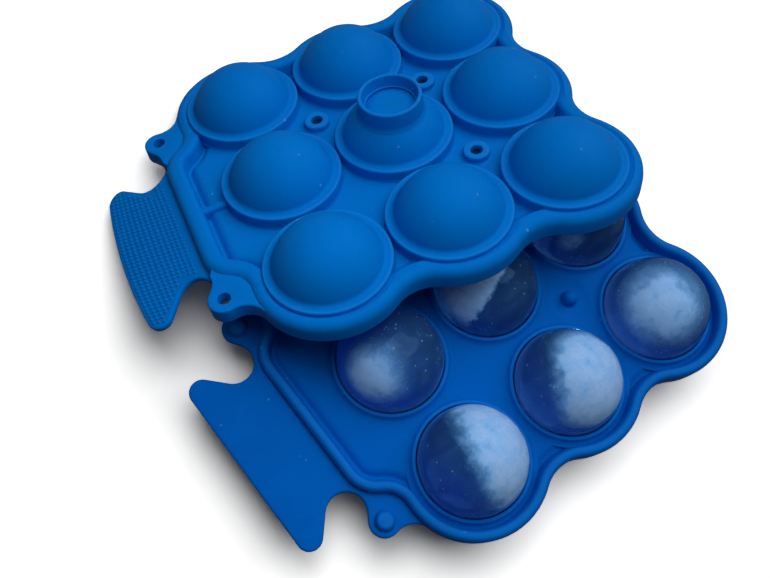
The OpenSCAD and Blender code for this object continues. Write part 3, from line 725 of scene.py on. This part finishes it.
class ICEMOLD_OT_grip_tabs(bpy.types.Operator):
    """Fish-tail grip tabs of base and lid; the lid's is covered with fine raised dots"""

    bl_idname = "icemold.grip_tabs"
    bl_label = "Grip tabs"

    def execute(self, context):
        rounding = context.scene.ice_mold.tab_round / MM
        pitch = context.scene.ice_mold.dot_pitch / MM
        half = TAIL_T / 2 - 0.05
        for name, body, place, mid, bend, embed in (
                ("base_tail", "base", BASE, BASE_TAIL_Z, 0.0, 2.2),
                ("lid_tail", "lid", LID, LID_TAIL_Z, LID_TAIL_DROOP, 0.85)):
            bm = bmesh.new()
            tail_loop(bm, embed)
            if bend:
                self.bow(bm)
            slab(bm, -half, half, rounding)
            fill_flats(bm, -half, half)
            for i in range(10):
                cut = SIDE_X - 0.2 - i * 0.7
                bmesh.ops.bisect_plane(
                    bm, geom=bm.verts[:] + bm.edges[:] + bm.faces[:], plane_co=(cut, 0, 0),
                    plane_no=(1, 0, 0))
            self.curl(bm, bend, mid)
            tab = finish_piece(bm, f"{name}_tab", moulded_silicone(body), place, None, [name])
            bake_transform(tab)
            if name == "base_tail":
                continue
            bm = bmesh.new()
            rows = int(2 * (TIP_Y + TIP_R) / pitch)
            for i in range(int(TAIL_L / pitch)):
                for j in range(rows + 1):
                    x = SIDE_X - 3.4 - i * pitch
                    y = (j - rows / 2 + 0.25 - 0.5 * (i % 2)) * pitch
                    if in_tail(x, y, DOT_MARGIN):
                        bmesh.ops.create_cone(
                            bm, cap_ends=True, segments=8, radius1=DOT_FOOT_R, radius2=DOT_TOP_R, depth=DOT_H,
                            matrix=Matrix.Translation((x, y, half + 0.2)))
            self.bow(bm)
            self.curl(bm, bend, mid)
            dots = finish_piece(bm, f"{name}_dots", moulded_silicone(body), place, sharp=60)
            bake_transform(dots)
        return {"FINISHED"}

    def bow(self, bm):
        """Bows the outer edge of a tab out between its tips."""
        for vert in bm.verts:
            out = min(max((SIDE_X - BOW_FROM - vert.co.x) / (TAIL_L - BOW_FROM), 0.0), 1.0)
            vert.co.x -= BOW * out * max(0.0, 1 - (vert.co.y / (TIP_Y + TIP_R - 0.5)) ** 2)

    def curl(self, bm, bend, mid):
        """Bends the first few millimetres of a flat tab down and lifts the tab to its height."""
        for vert in bm.verts:
            out = SIDE_X - 0.2 - vert.co.x
            share = min(max(out / CURL_L, 0.0), 1.0)
            angle = math.radians(bend) * share
            if bend and out > 0:
                radius = CURL_L / math.radians(bend)
                along = max(out - CURL_L, 0.0)
                level = vert.co.z
                x = (radius + level) * math.sin(angle) + along * math.cos(angle)
                z = (radius + level) * math.cos(angle) - radius - along * math.sin(angle)
                vert.co.x, vert.co.z = SIDE_X - 0.2 - x, z
            vert.co.z += mid


class ICEMOLD_OT_base_rim(bpy.types.Operator):
    """Rim of the base: a skirt that runs up into a round bead, and the groove inside it"""

    bl_idname = "icemold.base_rim"
    bl_label = "Base rim"

    def execute(self, context):
        bm = bmesh.new()
        wire(bm, [
            (0, SKIRT_Z, 0.5), (0, BEAD_H - 0.1, 2.1), (BEAD_TO - 0.9, BEAD_H, 1.7), (BEAD_TO, MOAT_Z, 0.5),
            (5.7, MOAT_Z, 0.5), (MOAT_TO, TRAY_Z + 0.02, 1.1), (MOAT_TO + 1.4, TRAY_Z + 0.02, 0),
            (MOAT_TO + 1.4, TRAY_UNDER, 0), (2, TRAY_UNDER, 0.3), (2, SKIRT_Z, 0.5)], closed=True)
        sweep_outline(bm)
        keep_off(bm, CUP_R + 0.6)
        bmesh.ops.remove_doubles(bm, verts=bm.verts[:], dist=0.02)
        bmesh.ops.dissolve_degenerate(bm, dist=0.01, edges=bm.edges[:])
        mark_lip_highlight(bm, lambda co: co.z > BEAD_H - 0.4)
        nodes = [f"base_rim_{s}" for s in ("side", "front", "end", "back")]
        finish_piece(bm, "base_rim", moulded_silicone("base"), BASE, "base", nodes)
        return {"FINISHED"}


class ICEMOLD_OT_base_tray(bpy.types.Operator):
    """Floor of the base between the cups"""

    bl_idname = "icemold.base_tray"
    bl_label = "Base tray"

    def execute(self, context):
        bm = bmesh.new()
        bm.verts.new((MOAT_TO + 0.9, 0, TRAY_UNDER + 0.05))
        sweep_outline(bm)
        keep_off(bm, SHELL_R - 0.4)
        for x in COLUMNS.values():
            for y in ROWS.values():
                bmesh.ops.create_circle(
                    bm, segments=64, radius=SHELL_R - 0.6,
                    matrix=Matrix.Translation((x * PITCH, y * PITCH, TRAY_UNDER + 0.05)))
        for x, y in PLUGS:
            bmesh.ops.create_circle(
                bm, segments=48, radius=DISH_R,
                matrix=Matrix.Translation((x * PITCH, y * PITCH, TRAY_UNDER + 0.05)))
        bmesh.ops.triangle_fill(bm, use_beauty=True, edges=bm.edges[:])
        raised = bmesh.ops.extrude_face_region(bm, geom=bm.faces[:], use_keep_orig=True)
        top = [e for e in raised["geom"] if isinstance(e, bmesh.types.BMVert)]
        bmesh.ops.translate(bm, verts=top, vec=(0, 0, TRAY_Z - TRAY_UNDER - 0.05))
        nodes = [f"base_tray_{i}" for i in range(1, 5)]
        finish_piece(bm, "base_tray_floor", moulded_silicone("base"), BASE, "base", nodes)
        return {"FINISHED"}


class ICEMOLD_OT_base_pins(bpy.types.Operator):
    """Three pins, each in a shallow dish"""

    bl_idname = "icemold.base_pins"
    bl_label = "Base pins"

    def execute(self, context):
        for i, (x, y) in enumerate(PLUGS, 1):
            bm = bmesh.new()
            wire(bm, [
                (0, TRAY_UNDER + 0.1, 0), (DISH_R + 0.3, TRAY_UNDER + 0.1, 0),
                (DISH_R + 0.3, TRAY_Z + 0.02, 0), (DISH_R - 0.4, TRAY_Z + 0.02, 0.6),
                (DISH_R - 3.6, DISH_Z - 0.1, 1.6), (PIN_R + 0.4, DISH_Z, 0.9),
                (PIN_R - 0.5, PIN_TOP - 0.9, 1.5), (0, PIN_TOP - 0.9, 0)])
            spin_round(bm, 48)
            bmesh.ops.translate(bm, verts=bm.verts[:], vec=(x * PITCH, y * PITCH, 0))
            finish_piece(bm, f"base_pin_{i}_dish", moulded_silicone("base"), BASE, "base", [f"base_pin_{i}"])
        return {"FINISHED"}


class ICEMOLD_OT_base_cups(bpy.types.Operator):
    """Nine half-ball cups with a rounded lip and a flat foot"""

    bl_idname = "icemold.base_cups"
    bl_label = "Base cups"

    def execute(self, context):
        lip = context.scene.ice_mold.lip_round / MM
        for c, x in COLUMNS.items():
            for r, y in ROWS.items():
                bm = bmesh.new()
                foot = math.acos(FOOT_Z / SHELL_R)
                low = bm.verts.new((SHELL_R * math.sin(foot), 0, -FOOT_Z))
                bm.edges.new((bm.verts.new((0, 0, -FOOT_Z)), low))
                rise = math.acos(-TRAY_UNDER / SHELL_R) - foot
                start = arc(bm, low, (0, 0, 0), -math.degrees(rise), 22)
                drop = 0.06
                wall = [
                    (start.co.x, start.co.z, 0), (SHELL_R + 2.4, TRAY_Z - 0.3, 0),
                    (SHELL_R + 2.4, TRAY_Z + 0.03, 0), (SHELL_R + 0.6, TRAY_Z + 0.1, 1.3),
                    (SHELL_R - 0.05, 0, lip), (CUP_R, 0, lip), (CUP_R, -CUP_R * math.sin(drop), 0)]
                wire(bm, wall)
                end = min(bm.verts, key=lambda v: (v.co - Vector((wall[-1][0], 0, wall[-1][1]))).length)
                end.co.x = CUP_R * math.cos(drop)
                arc(bm, end, (0, 0, 0), 90 - math.degrees(drop), 24)
                spin_round(bm, 96)
                mark_lip_highlight(bm, lambda co: co.z > -0.3)
                bmesh.ops.translate(bm, verts=bm.verts[:], vec=(x * PITCH, y * PITCH, 0))
                finish_piece(
                    bm, f"base_cup_{c}{r}", moulded_silicone("base"), BASE, "base", [f"cup_{c}{r}"],
                    normals=False)
        return {"FINISHED"}


# Right, up and towards the viewer, across the face of a ball
ACROSS = Matrix(((0.780, 0.568, -0.262), (-0.622, 0.753, -0.217), (0.074, 0.332, 0.940)))
# Cloud of each ball: the side it is on, and the place and softness of its edge; then the centre, radius
# and softness of a blob; then the frost at the rim
CLOUDS = {
    "a2": ((1, 0, 0), -3.0, 0.1, (-0.36, -0.28, 0.89), 0.44, 0.42, 0.26),
    "b2": ((-0.87, 0.49, 0), -0.03, 0.07, (0, 0, 0), 3.0, 0.1, 0.1),
    "c2": ((1, 0, 0), -3.0, 0.1, (-0.3, -0.45, 0.84), 0.18, 0.24, 0.18),
    "a3": ((0.907, 0.42, 0), 0.08, 0.26, (0, 0, 0), 3.0, 0.1, 0.28),
    "b3": ((1.0, 0.05, 0), -0.31, 0.26, (0.25, 0.15, 0.95), 0.95, 0.3, 0.3),
    "c3": ((1, 0, 0), -3.0, 0.1, (-0.15, 0.1, 0.98), 0.62, 0.55, 0.34),
}


class ICEMOLD_OT_ice_balls(bpy.types.Operator):
    """Six balls of ice with a fine parting line and a cloud of bubbles in each"""

    bl_idname = "icemold.ice_balls"
    bl_label = "Ice balls"

    def execute(self, context):
        for n, (name, cloud) in enumerate(CLOUDS.items()):
            place = Vector((COLUMNS[name[0]] * PITCH, ROWS[name[1]] * PITCH, 0))
            bm = bmesh.new()
            bmesh.ops.create_icosphere(bm, subdivisions=6, radius=BALL_R - 0.12)
            for vert in bm.verts:
                seed = vert.co / 9.0 + Vector((17.0 * n, 0, 0))
                ridge = 0.12 * math.exp(-(vert.co.z / 0.35) ** 2)
                off_ridge = 1 - math.exp(-(vert.co.z / 2.0) ** 2)
                melt = -0.22 * max(0.0, noise.fractal(seed, 0.8, 2.0, 3)) * off_ridge
                vert.co *= 1 + (ridge + melt) / BALL_R
            bmesh.ops.translate(bm, verts=bm.verts[:], vec=place)
            centre = BASE @ place
            side, offset, soft, blob, blob_r, blob_soft, frost = cloud
            ice = frozen_ice(
                f"frozen_ice_{name}", centre, ACROSS @ Vector(side), offset, soft,
                ACROSS @ Vector(blob), blob_r, blob_soft, frost)
            finish_piece(
                bm, f"ice_ball_{name}", ice, BASE, f"ice_{name}", [f"ice_{name}"], sharp=180)
        return {"FINISHED"}


class ICEMOLD_OT_stage(bpy.types.Operator):
    """White studio floor, soft light and the camera"""

    bl_idname = "icemold.stage"
    bl_label = "Studio"

    def execute(self, context):
        scene = context.scene
        scene.view_settings.view_transform = "Standard"
        bm = bmesh.new()
        bmesh.ops.create_grid(bm, x_segments=1, y_segments=1, size=3.0)
        mesh = bpy.data.meshes.new("studio_floor")
        bm.to_mesh(mesh)
        bm.free()
        floor = bpy.data.objects.new("studio_floor", mesh)
        scene.collection.objects.link(floor)
        paper, tree, out = new_material("matt_white_paper")
        # The camera sees the sheet white; it throws less light back at the object
        seen = add_node(tree, "ShaderNodeLightPath").outputs["Is Camera Ray"]
        shade = add_node(tree, "ShaderNodeMix", {
            "Factor": seen, "A": linear("#707070"), "B": [1.65, 1.65, 1.65, 1.0]}, data_type="RGBA")
        sheet = add_node(tree, "ShaderNodeBsdfDiffuse", {"Color": shade.outputs["Result"]})
        tree.links.new(sheet.outputs["BSDF"], out.inputs["Surface"])
        mesh.materials.append(paper)

        world = bpy.data.worlds.new("studio_white")
        scene.world = world
        world.use_nodes = True
        world.node_tree.nodes.clear()
        tree = world.node_tree
        seen = add_node(tree, "ShaderNodeLightPath").outputs["Is Camera Ray"]
        level = add_node(tree, "ShaderNodeMapRange", {"Value": seen, "To Min": 0.06, "To Max": 1.0})
        light = add_node(tree, "ShaderNodeBackground", {
            "Color": linear("#FFFFFF"), "Strength": level.outputs["Result"]})
        tree.links.new(light.outputs["Background"], add_node(tree, "ShaderNodeOutputWorld").inputs["Surface"])

        key = bpy.data.lights.new("key", "SUN")
        key.energy = 2.0
        key.angle = math.radians(65)
        lamp = bpy.data.objects.new("key", key)
        lamp.rotation_euler = Vector((0.50, 0.08, 0.86)).to_track_quat("Z", "Y").to_euler()
        scene.collection.objects.link(lamp)

        box = bpy.data.lights.new("softbox", "AREA")
        box.energy = 0.095
        box.size = 0.12
        lamp = bpy.data.objects.new("softbox", box)
        lamp.location = (-0.04, 0.05, 0.22)
        lamp.visible_camera = False
        scene.collection.objects.link(lamp)

        lens = bpy.data.cameras.new("camera")
        lens.sensor_width = 36.0
        lens.lens = 38.78
        lens.shift_x = 0.0134
        lens.shift_y = -0.0079
        lens.clip_start = 0.01
        camera = bpy.data.objects.new("camera", lens)
        camera.location = (-0.10972, -0.03961, 0.30063)
        camera.rotation_euler = [math.radians(a) for a in (19.4669, -4.2454, -38.5655)]
        scene.collection.objects.link(camera)
        scene.camera = camera
        return {"FINISHED"}


OPERATORS = (
    ICEMOLD_OT_lid_domes, ICEMOLD_OT_lid_rim, ICEMOLD_OT_lid_plate, ICEMOLD_OT_lid_bosses,
    ICEMOLD_OT_lid_collar, ICEMOLD_OT_lid_rib, ICEMOLD_OT_ears, ICEMOLD_OT_grip_tabs,
    ICEMOLD_OT_base_rim, ICEMOLD_OT_base_tray, ICEMOLD_OT_base_pins, ICEMOLD_OT_base_cups,
    ICEMOLD_OT_ice_balls, ICEMOLD_OT_stage,
)


class ICEMOLD_PT_sidebar(bpy.types.Panel):
    """Lists the finish sizes and the pieces"""

    bl_idname = "ICEMOLD_PT_sidebar"
    bl_label = "Ice ball mold"
    bl_space_type = "VIEW_3D"
    bl_region_type = "UI"
    bl_category = "Ice mold"

    def draw(self, context):
        for name in MoldProperties.__annotations__:
            self.layout.prop(context.scene.ice_mold, name)
        for operator in OPERATORS:
            self.layout.operator(operator.bl_idname)


def register():
    for made in (MoldProperties, *OPERATORS, ICEMOLD_PT_sidebar):
        bpy.utils.register_class(made)
    bpy.types.Scene.ice_mold = bpy.props.PointerProperty(type=MoldProperties)


def unregister():
    del bpy.types.Scene.ice_mold
    for made in reversed((MoldProperties, *OPERATORS, ICEMOLD_PT_sidebar)):
        bpy.utils.unregister_class(made)


def main():
    register()
    for operator in OPERATORS:
        getattr(bpy.ops.icemold, operator.bl_idname.split(".")[1])()


if __name__ == "__main__":
    main()
